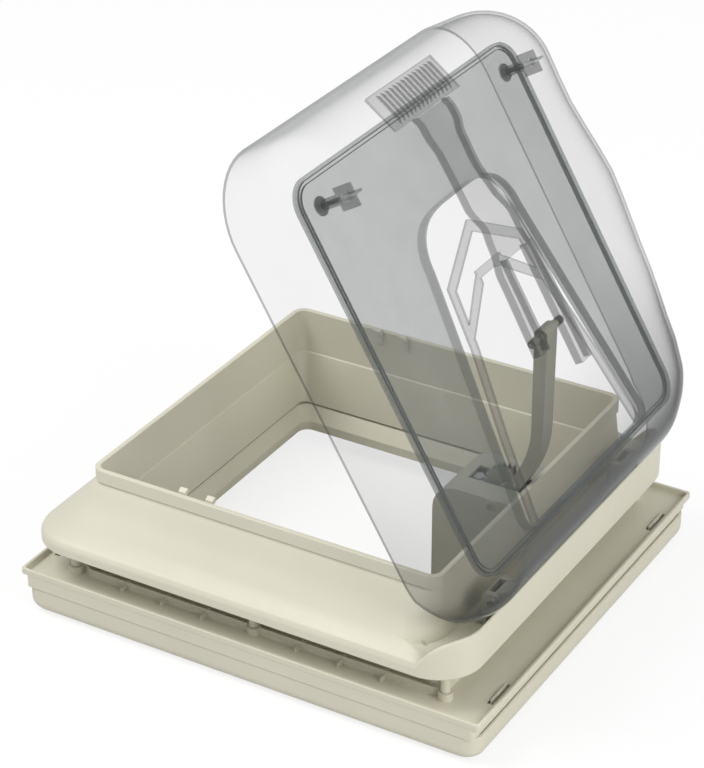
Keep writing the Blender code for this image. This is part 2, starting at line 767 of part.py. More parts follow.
def offset_route(points, distance):
    """Move a route sideways, with mitred bends."""
    moved = []
    for k, (u, y) in enumerate(points):
        before = points[max(0, k - 1)]
        after = points[min(len(points) - 1, k + 1)]
        first = Vector((u - before[0], y - before[1]))
        second = Vector((after[0] - u, after[1] - y))
        first = second if first.length == 0 else first
        second = first if second.length == 0 else second
        mean = (first.normalized() + second.normalized()).normalized()
        normal = Vector((-mean.y, mean.x))
        stretch = 1.0 / max(0.35, mean.dot(first.normalized()))
        moved.append((u + normal.x * distance * stretch, y + normal.y * distance * stretch))
    return moved


def finger_grip(dome):
    """Comb-ribbed pull between the glazings, at the middle of the free edge."""
    outline = [(-448.0, 49.5), (-446.0, 46.5), (-411.0, 61.5), (-411.0, 64.0)]
    made = piece("finger_grip", prism("finger_grip", outline, -58.0, 58.0), smoke(), dome)
    ridges = []
    for k in range(14):
        y = -45.5 + 7.0 * k
        ridge = [(-446.0, 49.0), (-443.0, 55.0), (-420.0, 64.5), (-414.0, 63.0), (-430.0, 55.5)]
        ridges.append(prism("ridge", ridge, y - 0.8, y + 0.8))
    join(made, *ridges)
    return made


def arm_outline():
    """Side view of the J-shaped arm, from the pivot to the rounded tip."""
    dx = ARM_TIP_X - ARM_PIVOT_X
    dz = ARM_TIP_Z - ARM_PIVOT_Z
    half = ARM_HALF_T
    centre = []
    for k in range(9):
        share = k / 8.0
        centre.append((dx * (2.0 * share - share * share), ARM_BEND * share))
    centre.append((dx, dz))
    left = offset_route(centre, half)
    right = offset_route(centre, -half)
    tip = [(dx + (half + 1.0) * math.cos(a), dz + (half + 1.0) * math.sin(a))
           for a in (math.radians(165.0 - 25.0 * k) for k in range(7))]
    return left[:-1] + tip + list(reversed(right[:-1]))


def arm_pieces(arm):
    """Arm, toothed sector, their cross pin, and the roller pin, all on the arm's axis."""
    width = ARM_HALF_Y
    made = piece("lift_arm", prism("lift_arm", arm_outline(), -width, width), grey(), arm)
    join(made, prism("hub", circle(10.0, 24), -width, width))
    dx = ARM_TIP_X - ARM_PIVOT_X
    dz = ARM_TIP_Z - ARM_PIVOT_Z
    fork = SECTOR_HALF_Y + 0.4
    cut(made,
        prism("bore", circle(SHAFT_RADIUS + 0.3, 24), -width - 2.0, width + 2.0),
        prism("fork", circle(SECTOR_RADIUS + 4.0, 32), -fork, fork),
        prism("cross_hole", circle(2.3, 12, *SECTOR_PIN), -width - 2.0, width + 2.0),
        prism("tip_hole", circle(2.3, 16, dx, dz), -width - 2.0, width + 2.0))
    sector = piece("drive_sector", prism("drive_sector", sector_outline(), -SECTOR_HALF_Y,
                                         SECTOR_HALF_Y), grey(), arm)
    cut(sector,
        prism("bore", circle(SHAFT_RADIUS + 0.3, 24), -width, width),
        prism("cross_hole", circle(2.3, 12, *SECTOR_PIN), -width, width))
    piece("sector_pin", prism("sector_pin", circle(2.0, 12, *SECTOR_PIN), -width, width),
          steel(), arm)
    piece("roller_pin", prism("roller_pin", circle(2.0, 16, dx, dz), -30.0, 30.0), steel(), arm)


def sector_outline():
    """Toothed sector: teeth only where the worm reaches, a plain disc elsewhere."""
    pitch = 360.0 / SECTOR_TEETH_PER_TURN
    teeth = int(round(ARM_RATIO * OPEN_ANGLE / pitch)) + 3
    last = 180.0 + pitch
    first = last - pitch * (teeth - 1)
    root = SECTOR_RADIUS - 2.1
    tip = SECTOR_RADIUS + 1.7
    points = []
    for k in range(teeth):
        centre = first + pitch * k
        for share, radius in ((-0.25, root), (-0.13, tip), (0.13, tip), (0.25, root)):
            angle = math.radians(centre + share * pitch)
            points.append((radius * math.cos(angle), radius * math.sin(angle)))
    begin = last + 12.0
    sweep = first - 12.0 + 360.0 - begin
    for k in range(13):
        angle = math.radians(begin + sweep * k / 12.0)
        points.append((18.0 * math.cos(angle), 18.0 * math.sin(angle)))
    return points


def rollers(parent):
    """A roller on each end of the pin; each one spins on its own."""
    section = circle(ROLLER_RADIUS, 20)
    hole = circle(2.3, 20)
    for label, low in (("near", -29.0), ("far", 10.6)):
        axis = empty(f"roller_axis_{label}", ARM_TIP_X, ARM_TIP_Z, parent)
        loops = [[(x, y, z) for x, z in ring]
                 for ring, y in ((section, low), (section, low + 18.4),
                                 (hole, low + 18.4), (hole, low))]
        piece(f"roller_{label}", skin("roller", loops, True), grey(), axis)


# --- gearbox and crank ------------------------------------------------------
HOUSING_BACK = 181.2
HOUSING_FRONT = 97.0
HOUSING_HALF_Y = 38.0
HOUSING_TOP = 146.0
HOUSING_BOTTOM = 38.0


def housing_profile(inset, bottom):
    """Side view of the housing, with its rounded upper front corner."""
    radius = 26.0 - inset
    front = HOUSING_FRONT + inset
    top = HOUSING_TOP - inset
    back = HOUSING_BACK - inset
    points = [(back - 5.0, bottom), (back - 2.2, 43.0), (back - 2.2, 103.0), (back, 106.5), (back, top)]
    for k in range(7):
        angle = math.radians(90.0 + 15.0 * k)
        points.append((front + radius + radius * math.cos(angle),
                       top - radius + radius * math.sin(angle)))
    points.append((front, bottom))
    return points


def gearbox(parent):
    """Housing on the hinge-side inner wall, open below, with the arm's slot on top."""
    half = HOUSING_HALF_Y
    made = piece("gearbox_housing", prism("gearbox_housing", housing_profile(0.0, HOUSING_BOTTOM),
                                          -half, half), grey(), parent)
    pivot = circle(SHAFT_RADIUS + 0.3, 20, ARM_PIVOT_X, ARM_PIVOT_Z)
    cut(made,
        prism("hollow", housing_profile(3.0, HOUSING_BOTTOM - 5.0), -half + 3.0, half - 3.0),
        box("arm_slot", (121.0, -12.5, 118.0), (HOUSING_BACK + 4.0, 12.5, HOUSING_TOP + 8.0)),
        prism("pivot_hole", pivot, -half - 3.0, half + 3.0))
    piece("arm_shaft", prism("arm_shaft", circle(SHAFT_RADIUS, 20), -half, half),
          steel(), parent, (ARM_PIVOT_X, 0.0, ARM_PIVOT_Z))
    for label, low, high in (("near", -34.7, -10.4), ("far", 10.4, 34.7)):
        outer = circle(5.6, 20)
        inner = circle(SHAFT_RADIUS + 0.3, 20)
        loops = [[(x, y, z) for x, z in ring]
                 for ring, y in ((outer, low), (outer, high), (inner, high), (inner, low))]
        piece(f"shaft_spacer_{label}", skin("shaft_spacer", loops, True), grey(), parent,
              (ARM_PIVOT_X, 0.0, ARM_PIVOT_Z))
    cover_and_bearings(parent)


def worm_x():
    return ARM_PIVOT_X - SECTOR_RADIUS - WORM_RADIUS


def tube(name, outer, inner, low, high, count=20):
    loops = [[(x, y, z) for x, y in circle(radius, count)]
             for radius, z in ((outer, low), (outer, high), (inner, high), (inner, low))]
    return skin(name, loops, True)


def cover_and_bearings(parent):
    """Bottom cover plate, its screws, and the two bushes that carry the worm shaft."""
    x = worm_x()
    low = HOUSING_BOTTOM
    cover = piece("gearbox_cover",
                  box("gearbox_cover", (HOUSING_FRONT + 3.3, -34.7, low + 0.4),
                      (HOUSING_BACK - 8.6, 34.7, low + 3.4)), grey(), parent)
    holes = [prism("shaft_hole", circle(7.3, 20, x, 0.0), low - 2.0, low + 6.0, "Z")]
    places = [(px, py) for px in (HOUSING_FRONT + 9.0, HOUSING_BACK - 15.0) for py in (-28.0, 28.0)]
    for px, py in places:
        holes.append(prism("screw_hole", circle(2.0, 12, px, py), low - 2.0, low + 6.0, "Z"))
    cut(cover, *holes)
    profile = ((3.4, low - 2.2), (3.4, low + 0.1), (1.6, low + 0.1), (1.6, low + 16.0))
    screw = turned("cover_screw", profile, 12)
    for number, (px, py) in enumerate(places):
        piece(f"cover_screw_{number + 1}", screw, steel(), parent, (px, py, 0.0))
    piece("worm_bush_lower", tube("worm_bush_lower", 7.0, 4.3, low - 0.2, low + 12.0),
          steel(), parent, (x, 0.0, 0.0))
    bracket = piece("worm_bracket", box("worm_bracket", (HOUSING_FRONT + 3.3, -34.7, 104.0),
                                        (x + 9.0, 34.7, 108.0)), grey(), parent)
    cut(bracket, prism("bush_hole", circle(4.3, 20, x, 0.0), 100.0, 112.0, "Z"))


def worm_thread():
    """Single-start thread; a gap between turns faces the sector's level tooth."""
    pitch = 2.0 * math.pi * SECTOR_RADIUS / SECTOR_TEETH_PER_TURN
    root = WORM_ROOT - 0.8
    tip = WORM_RADIUS + 1.7
    count = 16
    total = WORM_TURNS * count
    work = bmesh.new()
    rows = []
    for k in range(total + 1):
        angle = 2.0 * math.pi * k / count
        height = ARM_PIVOT_Z + pitch * (k / count - WORM_TURNS + 0.5)
        reach = WORM_ROOT + (tip - WORM_ROOT) * min(1.0, (k + 0.5) / 3.0, (total - k + 0.5) / 3.0)
        row = []
        for radius, offset in ((root, -0.22), (reach, -0.11), (reach, 0.11), (root, 0.22)):
            row.append(work.verts.new((radius * math.cos(angle), radius * math.sin(angle),
                                       height + offset * pitch)))
        rows.append(row)
    for before, after in zip(rows, rows[1:]):
        for k in range(4):
            n = (k + 1) % 4
            work.faces.new((before[k], before[n], after[n], after[k]))
    work.faces.new(rows[0])
    work.faces.new(list(reversed(rows[-1])))
    return to_mesh("worm_thread", work)


def crank_pieces(parent, knob_parent_name):
    """Worm shaft with the crank arm on its lower end; the knob spins on its stub."""
    x = worm_x()
    axis = empty("crank_axis", x, 0.0, parent)
    profile = ((4.0, 24.0), (4.0, 114.0), (WORM_ROOT, 114.0), (WORM_ROOT, 142.4))
    worm = piece("worm_shaft", turned("worm_shaft", profile, 20), steel(), axis)
    join(worm, worm_thread())
    hub = circle(9.0, 24)
    arm = piece("crank_arm", prism("crank_arm", hub, 22.0, 33.0, "Z"), grey(), axis)
    throw = CRANK_THROW
    bar = [(0.0, -7.0), (0.0, 7.0), (-throw, 6.0)]
    bar += [(-throw + 6.0 * math.cos(a), 6.0 * math.sin(a))
            for a in (math.radians(105.0 + 25.0 * k) for k in range(7))]
    bar += [(-throw, -6.0)]
    join(arm, prism("bar", bar, 22.5, 28.5, "Z"))
    cut(arm, prism("socket", circle(4.3, 20), 23.7, 36.0, "Z"),
        prism("stub_hole", circle(2.8, 16, -throw, 0.0), 20.0, 30.0, "Z"))
    pin = ((4.4, 2.4), (4.4, 3.6), (2.5, 3.6), (2.5, 29.6))
    piece("knob_stub", turned("knob_stub", pin, 16), steel(), axis, (-throw, 0.0, 0.0))
    knob_axis = empty(knob_parent_name, x - throw, 0.0, parent)
    loops = [[(a, b, z) for a, b in circle(radius, 20)]
             for radius, z in ((7.0, 4.0), (8.6, 6.5), (7.6, 13.0), (8.6, 20.0), (7.0, 22.1),
                               (2.8, 22.1), (2.8, 4.0))]
    piece("crank_knob", skin("crank_knob", loops, True), grey(), knob_axis)


def build():
    clear_scene()
    base = empty("footprint_centre", CEILING_CENTRE_X, TRIM_DROP)
    ceiling_frame(base)
    trim_cover(base)
    outer_frame(base)
    clamp_screws(base)
    rim_hooks(base)
    dome = empty("dome_hinge_axis", HINGE_X, HINGE_Z, base, OPEN_ANGLE)
    hinge_half(base, dome, -1.0, "near")
    hinge_half(base, dome, 1.0, "far")
    dome_shell(dome)
    inner_panel(dome)
    panel_seal(dome)
    spacers(dome)
    guide_rail(dome)
    lift_frame(dome)
    finger_grip(dome)
    arm = empty("arm_pivot_axis", ARM_PIVOT_X, ARM_PIVOT_Z, base)
    arm_pieces(arm)
    rollers(base)
    gearbox(base)
    crank_pieces(base, "knob_axis")


build()
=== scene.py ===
"""Looks of the roof vent cover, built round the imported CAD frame.

Shapes are made in millimetres in the CAD's own base and dome frames, then scaled
and moved to the row frame once.  +X runs towards the hinges, +Z is up.
"""

import json
import math

import bmesh
import bpy
from mathutils import Matrix, Vector

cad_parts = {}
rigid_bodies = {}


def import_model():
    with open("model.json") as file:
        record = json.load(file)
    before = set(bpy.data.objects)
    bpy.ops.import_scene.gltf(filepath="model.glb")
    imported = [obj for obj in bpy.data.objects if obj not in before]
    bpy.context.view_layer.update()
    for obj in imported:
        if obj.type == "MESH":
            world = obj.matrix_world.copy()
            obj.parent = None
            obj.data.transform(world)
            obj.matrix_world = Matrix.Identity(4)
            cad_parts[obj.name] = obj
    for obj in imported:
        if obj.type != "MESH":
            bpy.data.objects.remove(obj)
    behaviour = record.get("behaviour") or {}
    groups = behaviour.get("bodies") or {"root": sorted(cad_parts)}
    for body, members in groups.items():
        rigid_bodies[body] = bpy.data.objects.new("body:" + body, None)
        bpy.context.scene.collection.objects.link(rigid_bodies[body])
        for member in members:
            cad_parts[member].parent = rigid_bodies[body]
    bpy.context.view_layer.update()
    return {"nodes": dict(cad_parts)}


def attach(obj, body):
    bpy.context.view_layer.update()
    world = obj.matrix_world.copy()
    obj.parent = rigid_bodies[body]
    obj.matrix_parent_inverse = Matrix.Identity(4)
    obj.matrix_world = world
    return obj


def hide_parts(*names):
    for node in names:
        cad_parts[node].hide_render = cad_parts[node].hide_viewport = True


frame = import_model()
nodes = frame["nodes"]

FINE = 12                     # steps round each rounded corner
MM = 0.001
GAP = 0.3                     # air left between pieces that touch

# --- placing ---------------------------------------------------------------
CEILING_CENTRE_X = -6.5       # the ceiling frame's centre in the world frame
CUTOUT_CENTRE_X = -1.0        # roof cut-out's centre, from the ceiling frame's

# --- ceiling frame and trim ------------------------------------------------
CEILING_HALF_X = 250.0
CEILING_HALF_Y = 227.0
LIP_TOP = 41.3
LIP_WIDTH = 3.0
FLOOR_TOP = 35.0
FLOOR_BOTTOM = 32.0
SKIRT_INSET = 6.0
SKIRT_BOTTOM = 21.9
SHAFT_HALF_X = 173.0
SHAFT_HALF_Y = 173.0
SHAFT_WALL = 3.0
SHAFT_EDGE = 25.3
RIB_Y = 197.0
RIB_TOP = 42.7
TRIM_TOP = 21.3
TRIM_RADIUS = 13.0
TRIM_DROP = 6.0                # how far the trim hangs below the datum
FIN_CENTRE_X = -4.5
FIN_OFFSETS = (52.0, 97.4, 142.8)

# --- outer frame -----------------------------------------------------------
COLLAR_HALF_X = 187.5
COLLAR_HALF_Y = 189.4
COLLAR_TOP = 153.3
COLLAR_WALL = 5.0
NECK_HEIGHT = 13.3
SPIGOT_BOTTOM = 44.0
FLANGE_MIN_X = -245.0
FLANGE_MAX_X = 229.0
FLANGE_HALF_Y = 227.0
FLANGE_RADIUS = 45.0
FLANGE_BOTTOM = 71.3
FLANGE_EDGE = 79.0
WALL_TOP = 112.6
WALL_THICKNESS = 2.8
GUTTER_FLOOR = 88.0
POST_X = (-206.0, -3.0, 200.0)
POST_TOPS = (98.0, 112.5, 86.5)
POST_RADIUS = 4.8

# --- dome, in its own frame: u runs from the hinge axis to the free edge ----
HINGE_X = 220.5
HINGE_Z = 119.7
OPEN_ANGLE = 59.4
DOME_HINGE_EDGE = -7.4
DOME_FREE_EDGE = 459.5
DOME_HALF_Y = 227.0
DOME_CORNER = 70.0
DOME_ROUND = 70.0
DOME_WALL = 3.0
CROWN_STATIONS = ((20.0, 65.0), (90.0, 80.5), (170.0, 89.5), (262.0, 96.5), (345.0, 87.0), (440.0, 89.0))
RIM_LOW = -18.2
RIM_RISE = 14.0
PANEL_HALF_Y = 196.5
PANEL_NEAR = 32.5
PANEL_FAR = 420.5
PANEL_TOP = 43.3
PANEL_SKIRT = 34.2
PANEL_THICK = 2.5

# --- gearbox housing and arm shaft -----------------------------------------
ARM_PIVOT_X = 160.0
ARM_PIVOT_Z = 137.0
SHAFT_RADIUS = 4.0
HOUSING_BACK = 181.2
HOUSING_FRONT = 97.0
HOUSING_HALF_Y = 38.0
HOUSING_TOP = 146.0
HOUSING_BOTTOM = 38.0

BASE = Matrix.Translation(Vector((CEILING_CENTRE_X, 0.0, TRIM_DROP)) * MM)
DOME = (BASE @ Matrix.Translation(Vector((HINGE_X, 0.0, HINGE_Z)) * MM)
        @ Matrix.Rotation(math.radians(OPEN_ANGLE), 4, "Y"))


# --- building blocks --------------------------------------------------------
def to_mesh(name, work, smooth=35.0):
    """Turn a bmesh in millimetres into a mesh in metres with its faces out."""
    bmesh.ops.recalc_face_normals(work, faces=work.faces)
    bmesh.ops.scale(work, vec=(MM, MM, MM), verts=work.verts)
    mesh = bpy.data.meshes.new(name)
    work.to_mesh(mesh)
    work.free()
    mesh.shade_smooth()
    mesh.set_sharp_from_angle(angle=math.radians(smooth))
    return mesh


def skin(name, loops, closed_section, smooth=35.0):
    """Join loops of equal length.  A closed section makes a frame with a hole."""
    work = bmesh.new()
    rows = [[work.verts.new(point) for point in loop] for loop in loops]
    count = len(rows[0])
    last = len(rows) if closed_section else len(rows) - 1
    for index in range(last):
        upper = rows[index]
        lower = rows[(index + 1) % len(rows)]
        for k in range(count):
            after = (k + 1) % count
            work.faces.new((upper[k], upper[after], lower[after], lower[k]))
    if not closed_section:
        work.faces.new(rows[0])
        work.faces.new(list(reversed(rows[-1])))
    return to_mesh(name, work, smooth)


def prism(name, outline, low, high, axis="Y", smooth=35.0):
    """Extrude a closed outline along an axis, from low to high."""
    def point(a, b, c):
        if axis == "Y":
            return (a, c, b)
        if axis == "Z":
            return (a, b, c)
        return (c, a, b)
    loops = [[point(a, b, c) for a, b in outline] for c in (low, high)]
    return skin(name, loops, False, smooth)


def box(name, low, high):
    outline = [(low[0], low[1]), (high[0], low[1]), (high[0], high[1]), (low[0], high[1])]
    return prism(name, outline, low[2], high[2], "Z")


def circle(radius, count, x=0.0, y=0.0, start=0.0):
    step = 2.0 * math.pi / count
    return [(x + radius * math.cos(start + k * step), y + radius * math.sin(start + k * step))
            for k in range(count)]


def rounded_ring(low_x, high_x, half_y, radius, steps=FINE, between=0):
    """Points of a rounded rectangle with the turn angle of each one."""
    centres = ((high_x - radius, -half_y + radius, -90.0),
               (high_x - radius, half_y - radius, 0.0),
               (low_x + radius, half_y - radius, 90.0),
               (low_x + radius, -half_y + radius, 180.0))
    points = []
    for x, y, start in centres:
        for k in range(steps + 1):
            angle = start + 90.0 * k / steps
            turn = math.radians(angle)
            points.append((x + radius * math.cos(turn), y + radius * math.sin(turn), angle))
    if not between:
        return points
    filled = []
    for index, point in enumerate(points):
        filled.append(point)
        if index % (steps + 1) == steps:
            after = points[(index + 1) % len(points)]
            for k in range(1, between + 1):
                share = k / (between + 1.0)
                filled.append((point[0] + (after[0] - point[0]) * share,
                               point[1] + (after[1] - point[1]) * share, point[2]))
    return filled


def flat_ring(low_x, high_x, half_y, radius, height, steps=FINE):
    return [(x, y, height) for x, y, _ in rounded_ring(low_x, high_x, half_y, radius, steps)]


def joined(name, meshes):
    """One mesh out of several closed parts."""
    work = bmesh.new()
    for mesh in meshes:
        work.from_mesh(mesh)
    made = bpy.data.meshes.new(name)
    work.to_mesh(made)
    work.free()
    made.shade_smooth()
    return made


def carved(mesh, cuts, adds=()):
    """The mesh with the adds united to it and the cuts taken away."""
    scene = bpy.context.scene.collection.objects
    target = bpy.data.objects.new("carving", mesh)
    scene.link(target)
    helpers = []
    for operation, group in (("UNION", adds), ("DIFFERENCE", cuts)):
        for helper_mesh in group:
            helper = bpy.data.objects.new("helper", helper_mesh)
            scene.link(helper)
            step = target.modifiers.new("step", "BOOLEAN")
            step.operation = operation
            step.object = helper
            helpers.append(helper)
    graph = bpy.context.evaluated_depsgraph_get()
    made = bpy.data.meshes.new_from_object(target.evaluated_get(graph))
    made.shade_smooth()
    for item in [target, *helpers]:
        bpy.data.objects.remove(item)
    return made


def soften(item, width, angle=32.0, segments=2):
    """Round the sharp edges a little and weight the shading by face."""
    weld = item.modifiers.new("weld", "WELD")
    weld.merge_threshold = 1e-6
    edge = item.modifiers.new("edge", "BEVEL")
    edge.width = width * MM
    edge.segments = segments
    edge.limit_method = "ANGLE"
    edge.angle_limit = math.radians(angle)
    edge.use_clamp_overlap = True
    edge.harden_normals = False
    shade = item.modifiers.new("shade", "WEIGHTED_NORMAL")
    shade.keep_sharp = False


def show(name, mesh, look, body, replaced, place, width=0.6):
    """Put a finished mesh in the row frame, riding its body in place of its CAD nodes."""
    mesh.transform(place)
    mesh.materials.clear()
    mesh.materials.append(look)
    made = bpy.data.objects.new(name, mesh)
    bpy.context.scene.collection.objects.link(made)
    if width:
        soften(made, width)
    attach(made, body)
    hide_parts(*replaced)
    return made


# --- materials --------------------------------------------------------------
def noise(tree, scale, detail, distortion=0.0):
    """Fac of a noise texture in the piece's own coordinates."""
    place = tree.nodes.new("ShaderNodeTexCoord")
    made = tree.nodes.new("ShaderNodeTexNoise")
    made.inputs["Scale"].default_value = scale
    made.inputs["Detail"].default_value = detail
    made.inputs["Distortion"].default_value = distortion
    tree.links.new(place.outputs["Object"], made.inputs["Vector"])
    return made.outputs["Fac"]


def ramp(tree, factor, first, second, low=0.3, high=0.7):
    made = tree.nodes.new("ShaderNodeValToRGB")
    made.color_ramp.elements[0].position = low
    made.color_ramp.elements[1].position = high
    made.color_ramp.elements[0].color = (*first, 1.0)
    made.color_ramp.elements[1].color = (*second, 1.0)
    tree.links.new(factor, made.inputs["Fac"])
    return made.outputs["Color"]


def mapped(tree, factor, low, high, start=0.3, end=0.7, clamp=True):
    made = tree.nodes.new("ShaderNodeMapRange")
    made.inputs["From Min"].default_value = start
    made.inputs["From Max"].default_value = end
    made.inputs["To Min"].default_value = low
    made.inputs["To Max"].default_value = high
    made.clamp = clamp
    tree.links.new(factor, made.inputs["Value"])
    return made.outputs["Result"]


def bumped(tree, height, strength, distance):
    made = tree.nodes.new("ShaderNodeBump")
    made.inputs["Strength"].default_value = strength
    made.inputs["Distance"].default_value = distance
    tree.links.new(height, made.inputs["Height"])
    return made.outputs["Normal"]


def shaded(colour, share):
    return tuple(min(1.0, part * share) for part in colour)


def plastic(name, colour, rough, grain, depth, metallic=0.0, mottle=0.025):
    """Moulded finish: slow tone drift, uneven gloss and a fine surface grain."""
    made = bpy.data.materials.new(name)
    made.use_nodes = True
    tree = made.node_tree
    main = tree.nodes["Principled BSDF"]
    drift = noise(tree, 9.0, 4.0)
    tree.links.new(ramp(tree, drift, shaded(colour, 1.0 - mottle), shaded(colour, 1.0 + mottle)),
                   main.inputs["Base Color"])
    gloss = noise(tree, 140.0, 3.0)
    tree.links.new(mapped(tree, gloss, rough - 0.05, rough + 0.05), main.inputs["Roughness"])
    tree.links.new(bumped(tree, noise(tree, grain, 3.0), 0.35, depth), main.inputs["Normal"])
    main.inputs["Metallic"].default_value = metallic
    return made


def side_density(tree, place, face, side_alpha):
    """Walls that stand across the glazing show the plastic's full depth, so they read denser."""
    across = tree.nodes.new("ShaderNodeVectorMath")
    across.operation = "DOT_PRODUCT"
    across.inputs[1].default_value = DOME.to_3x3() @ Vector((0.0, 0.0, 1.0))
    tree.links.new(place.outputs["Normal"], across.inputs[0])
    size = tree.nodes.new("ShaderNodeMath")
    size.operation = "ABSOLUTE"
    tree.links.new(across.outputs["Value"], size.inputs[0])
    extra = mapped(tree, size.outputs["Value"], side_alpha, 0.0, 0.35, 0.85)
    top = tree.nodes.new("ShaderNodeMath")
    top.operation = "MAXIMUM"
    tree.links.new(face, top.inputs[0])
    tree.links.new(extra, top.inputs[1])
    return top.outputs["Value"]


def glazing(name, colour, edge_colour, face_alpha, edge_alpha, rough=0.06, power=3.0,
            hinge_shade_gain=1.0, side_alpha=0.0):
    """Tinted clear plastic: thin when seen square on, denser towards grazing."""
    made = bpy.data.materials.new(name)
    made.use_nodes = True
    tree = made.node_tree
    main = tree.nodes["Principled BSDF"]
    facing = tree.nodes.new("ShaderNodeLayerWeight")
    facing.inputs["Blend"].default_value = 0.5
    lift = tree.nodes.new("ShaderNodeMath")
    lift.operation = "POWER"
    lift.inputs[1].default_value = power
    tree.links.new(facing.outputs["Facing"], lift.inputs[0])
    grazing = lift.outputs["Value"]
    tree.links.new(ramp(tree, grazing, colour, edge_colour, 0.0, 0.8), main.inputs["Base Color"])
    haze = noise(tree, 26.0, 3.0)
    drift = mapped(tree, haze, 0.96, 1.04)
    dense = mapped(tree, grazing, face_alpha, edge_alpha, 0.0, 1.0)
    blend = tree.nodes.new("ShaderNodeMath")
    blend.operation = "MULTIPLY"
    tree.links.new(dense, blend.inputs[0])
    tree.links.new(drift, blend.inputs[1])
    place = tree.nodes.new("ShaderNodeTexCoord")
    split = tree.nodes.new("ShaderNodeSeparateXYZ")
    tree.links.new(place.outputs["Object"], split.inputs["Vector"])
    # Painted shade: below 0.15 m up the alpha is multiplied by the hinge factor, easing back to 1 at 0.30
    # m, so the dome's low hinge end, down in the collar beside the hinge wall, reads darker.
    hinge_shade_alpha = tree.nodes.new("ShaderNodeMath")
    hinge_shade_alpha.operation = "MULTIPLY"
    hinge_shade_alpha.use_clamp = True
    tree.links.new(blend.outputs["Value"], hinge_shade_alpha.inputs[0])
    tree.links.new(mapped(tree, split.outputs["Z"], hinge_shade_gain, 1.0, 0.15, 0.30), hinge_shade_alpha.inputs[1])
    dense_end = hinge_shade_alpha.outputs["Value"]
    if side_alpha:
        dense_end = side_density(tree, place, hinge_shade_alpha.outputs["Value"], side_alpha)
    tree.links.new(dense_end, main.inputs["Alpha"])
    tree.links.new(mapped(tree, noise(tree, 60.0, 2.0), rough - 0.02, rough + 0.03),
                   main.inputs["Roughness"])
    tree.links.new(bumped(tree, noise(tree, 11.0, 2.0), 0.05, 0.0004), main.inputs["Normal"])
    main.inputs["Specular IOR Level"].default_value = 0.18
    return made


CREAM = plastic("cream_abs_look", (0.62, 0.60, 0.485), 0.46, 1500.0, 0.00012)
NYLON = plastic("grey_nylon_look", (0.29, 0.29, 0.24), 0.5, 1300.0, 0.0001)
HOUSING_LOOK = plastic("gearbox_look", (0.40, 0.40, 0.335), 0.5, 1300.0, 0.0001)
RUBBER = plastic("grey_seal_look", (0.20, 0.22, 0.215), 0.7, 1700.0, 0.00015)
STEEL = plastic("zinc_steel_look", (0.56, 0.57, 0.56), 0.32, 900.0, 0.00005, 1.0, 0.05)
# The dome's hinge factor of 3.6 paints shade onto its low hinge end.
DOME_LOOK = glazing("dome_acrylic_look", (0.06, 0.06, 0.06), (0.10, 0.12, 0.12), 0.06, 0.80,
                    power=5.0, hinge_shade_gain=3.6)
RIM_LOOK = glazing("dome_rim_look", (0.05, 0.07, 0.07), (0.04, 0.06, 0.06), 0.50, 0.85)
PANEL_LOOK = glazing("panel_acrylic_look", (0.17, 0.185, 0.178), (0.03, 0.10, 0.09), 0.28, 0.7,
                     side_alpha=0.46)
SMOKE_LOOK = glazing("smoked_part_look", (0.10, 0.105, 0.105), (0.05, 0.08, 0.08), 0.16, 0.6,
                     side_alpha=0.40)


# --- frames -----------------------------------------------------------------
def ceiling_ring(inset_x, inset_y, height, radius=3.0):
    return flat_ring(-CEILING_HALF_X + inset_x, CEILING_HALF_X - inset_x,
                     CEILING_HALF_Y - inset_y, radius, height)


def shaft_ring(extra, height, radius=12.0):
    return flat_ring(CUTOUT_CENTRE_X - SHAFT_HALF_X - extra, CUTOUT_CENTRE_X + SHAFT_HALF_X + extra,
                     SHAFT_HALF_Y + extra, radius, height)


def slot_places():
    for x in (-238.5, 238.5):
        for side in (-1.0, 1.0):
            yield x, side * 167.0


def trim_ring(inset, height, radius):
    low = -CEILING_HALF_X + 3.0 + inset
    return flat_ring(low, -low, CEILING_HALF_Y - 1.0 - inset, radius, height)


def wall_share(angle):
    """1 along the hinge wall, easing to 0 round the two hinge-side corners."""
    if angle > 180.0 or angle < -90.0:
        return 0.0
    away = abs(angle)
    return max(0.0, 1.0 - (away / 88.0) ** 4) if away < 90.0 else 0.0


def flange_ring(inset, low, high=None):
    """Ring on the flange's outline; its height eases from low up to the hinge wall."""
    high = low if high is None else high
    points = rounded_ring(FLANGE_MIN_X + inset, FLANGE_MAX_X - inset,
                          FLANGE_HALF_Y - inset, FLANGE_RADIUS - inset)
    return [(x, y, low + (high - low) * wall_share(angle)) for x, y, angle in points]


def collar_ring(free, side, hinge, height, radius, hinge_height=None):
    """Ring round the collar, grown on each side; it may sit at another height by the hinge."""
    hinge_height = height if hinge_height is None else hinge_height
    points = rounded_ring(CUTOUT_CENTRE_X - COLLAR_HALF_X - free,
                          CUTOUT_CENTRE_X + COLLAR_HALF_X + hinge, COLLAR_HALF_Y + side, radius)
    return [(x, y, height + (hinge_height - height) * wall_share(angle))
            for x, y, angle in points]


